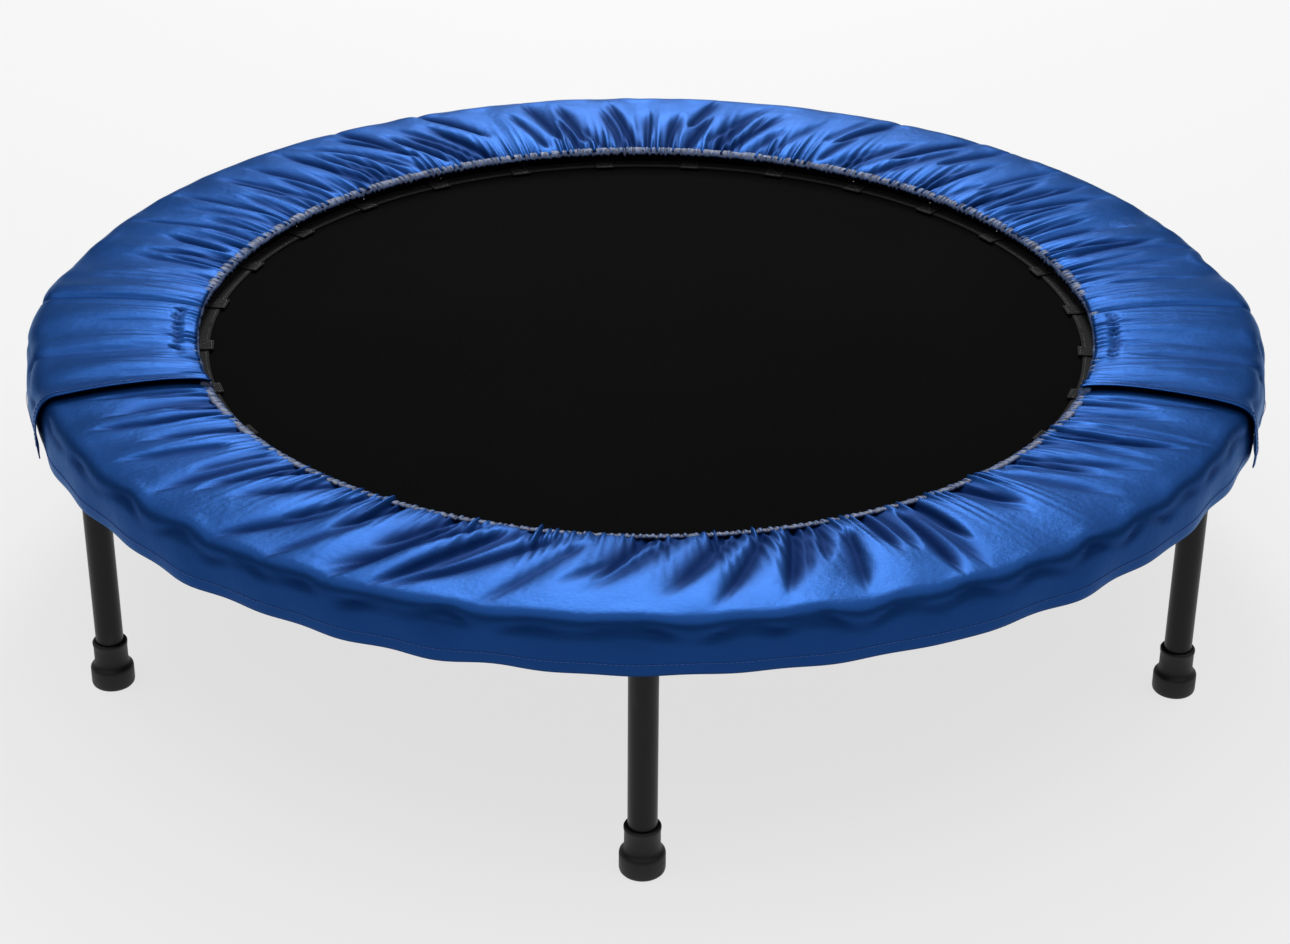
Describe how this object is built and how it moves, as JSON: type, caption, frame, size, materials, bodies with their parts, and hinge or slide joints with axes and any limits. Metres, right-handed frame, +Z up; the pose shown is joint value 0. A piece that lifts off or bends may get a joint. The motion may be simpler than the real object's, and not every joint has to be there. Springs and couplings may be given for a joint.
{
  "type": "mini trampoline",
  "caption": "Round folding mini trampoline with a ruffled blue spring cover, a black mat, screw-on tube legs and rubber feet.",
  "frame": {"origin": "on the floor under the centre of the mat, at the soles of the feet", "axes": "+Z up; X along the fold line, through both hinges; -Y towards the front leg"},
  "size_m": [1.0358, 1.036, 0.2289],
  "materials": {
    "cover_fabric": "satin",
    "mat_fabric": "matte",
    "painted_steel": "satin",
    "zinc_steel": "satin",
    "rubber": "matte"
  },
  "bodies": {
    "hinge_links": {"hinge_bracket_left": "zinc_steel", "hinge_bracket_right": "zinc_steel", "hinge_pin_left_front": "zinc_steel", "hinge_pin_left_back": "zinc_steel", "hinge_pin_right_front": "zinc_steel", "hinge_pin_right_back": "zinc_steel"},
    "front_half": {"frame_front": "painted_steel", "mat_front": "mat_fabric", "cover_front": "cover_fabric", "cover_flap_left": "cover_fabric", "cover_flap_right": "cover_fabric", "spring_front_01": "zinc_steel", "spring_front_02": "zinc_steel", "spring_front_03": "zinc_steel", "spring_front_04": "zinc_steel", "spring_front_05": "zinc_steel", "spring_front_06": "zinc_steel", "spring_front_07": "zinc_steel", "spring_front_08": "zinc_steel", "spring_front_09": "zinc_steel", "spring_front_10": "zinc_steel", "spring_front_11": "zinc_steel", "spring_front_12": "zinc_steel", "spring_front_13": "zinc_steel", "spring_front_14": "zinc_steel"},
    "back_half": {"frame_back": "painted_steel", "mat_back": "mat_fabric", "cover_back": "cover_fabric", "spring_back_01": "zinc_steel", "spring_back_02": "zinc_steel", "spring_back_03": "zinc_steel", "spring_back_04": "zinc_steel", "spring_back_05": "zinc_steel", "spring_back_06": "zinc_steel", "spring_back_07": "zinc_steel", "spring_back_08": "zinc_steel", "spring_back_09": "zinc_steel", "spring_back_10": "zinc_steel", "spring_back_11": "zinc_steel", "spring_back_12": "zinc_steel", "spring_back_13": "zinc_steel", "spring_back_14": "zinc_steel"},
    "leg_front_left_lift": {"leg_washer_front_left": "zinc_steel"},
    "leg_front_left": {"leg_tube_front_left": "painted_steel", "leg_foot_front_left": "rubber"},
    "leg_front_lift": {"leg_washer_front": "zinc_steel"},
    "leg_front": {"leg_tube_front": "painted_steel", "leg_foot_front": "rubber"},
    "leg_front_right_lift": {"leg_washer_front_right": "zinc_steel"},
    "leg_front_right": {"leg_tube_front_right": "painted_steel", "leg_foot_front_right": "rubber"},
    "leg_back_right_lift": {"leg_washer_back_right": "zinc_steel"},
    "leg_back_right": {"leg_tube_back_right": "painted_steel", "leg_foot_back_right": "rubber"},
    "leg_back_lift": {"leg_washer_back": "zinc_steel"},
    "leg_back": {"leg_tube_back": "painted_steel", "leg_foot_back": "rubber"},
    "leg_back_left_lift": {"leg_washer_back_left": "zinc_steel"},
    "leg_back_left": {"leg_tube_back_left": "painted_steel", "leg_foot_back_left": "rubber"}
  },
  "joints": [
    {"name": "fold_front_half", "type": "hinge", "parent": "hinge_links", "child": "front_half", "pos_m": [0, -0.032, 0.204], "axis": [-1, 0, 0], "range_deg": [0, 90]},
    {"name": "fold_back_half", "type": "hinge", "parent": "hinge_links", "child": "back_half", "pos_m": [0, 0.032, 0.204], "axis": [1, 0, 0], "range_deg": [0, 90]},
    {"name": "leg_front_left_travel", "type": "slide", "parent": "front_half", "child": "leg_front_left_lift", "axis": [0, 0, -1], "range_m": [0, 0.0225]},
    {"name": "leg_front_left_unscrew", "type": "hinge", "parent": "leg_front_left_lift", "child": "leg_front_left", "pos_m": [-0.42894, -0.24765, 0.1], "axis": [0, 0, -1], "range_deg": [0, 6486]},
    {"name": "leg_front_travel", "type": "slide", "parent": "front_half", "child": "leg_front_lift", "axis": [0, 0, -1], "range_m": [0, 0.0225]},
    {"name": "leg_front_unscrew", "type": "hinge", "parent": "leg_front_lift", "child": "leg_front", "pos_m": [0, -0.4953, 0.1], "axis": [0, 0, -1], "range_deg": [0, 6486]},
    {"name": "leg_front_right_travel", "type": "slide", "parent": "front_half", "child": "leg_front_right_lift", "axis": [0, 0, -1], "range_m": [0, 0.0225]},
    {"name": "leg_front_right_unscrew", "type": "hinge", "parent": "leg_front_right_lift", "child": "leg_front_right", "pos_m": [0.42894, -0.24765, 0.1], "axis": [0, 0, -1], "range_deg": [0, 6486]},
    {"name": "leg_back_right_travel", "type": "slide", "parent": "back_half", "child": "leg_back_right_lift", "axis": [0, 0, -1], "range_m": [0, 0.0225]},
    {"name": "leg_back_right_unscrew", "type": "hinge", "parent": "leg_back_right_lift", "child": "leg_back_right", "pos_m": [0.42894, 0.24765, 0.1], "axis": [0, 0, -1], "range_deg": [0, 6486]},
    {"name": "leg_back_travel", "type": "slide", "parent": "back_half", "child": "leg_back_lift", "axis": [0, 0, -1], "range_m": [0, 0.0225]},
    {"name": "leg_back_unscrew", "type": "hinge", "parent": "leg_back_lift", "child": "leg_back", "pos_m": [0, 0.4953, 0.1], "axis": [0, 0, -1], "range_deg": [0, 6486]},
    {"name": "leg_back_left_travel", "type": "slide", "parent": "back_half", "child": "leg_back_left_lift", "axis": [0, 0, -1], "range_m": [0, 0.0225]},
    {"name": "leg_back_left_unscrew", "type": "hinge", "parent": "leg_back_left_lift", "child": "leg_back_left", "pos_m": [-0.42894, 0.24765, 0.1], "axis": [0, 0, -1], "range_deg": [0, 6486]}
  ],
  "couplings": [
    {"joint": "leg_front_left_unscrew", "follows": "leg_front_left_travel", "rad_per_m": 5026.5},
    {"joint": "leg_front_unscrew", "follows": "leg_front_travel", "rad_per_m": 5026.5},
    {"joint": "leg_front_right_unscrew", "follows": "leg_front_right_travel", "rad_per_m": 5026.5},
    {"joint": "leg_back_right_unscrew", "follows": "leg_back_right_travel", "rad_per_m": 5026.5},
    {"joint": "leg_back_unscrew", "follows": "leg_back_travel", "rad_per_m": 5026.5},
    {"joint": "leg_back_left_unscrew", "follows": "leg_back_left_travel", "rad_per_m": 5026.5}
  ]
}
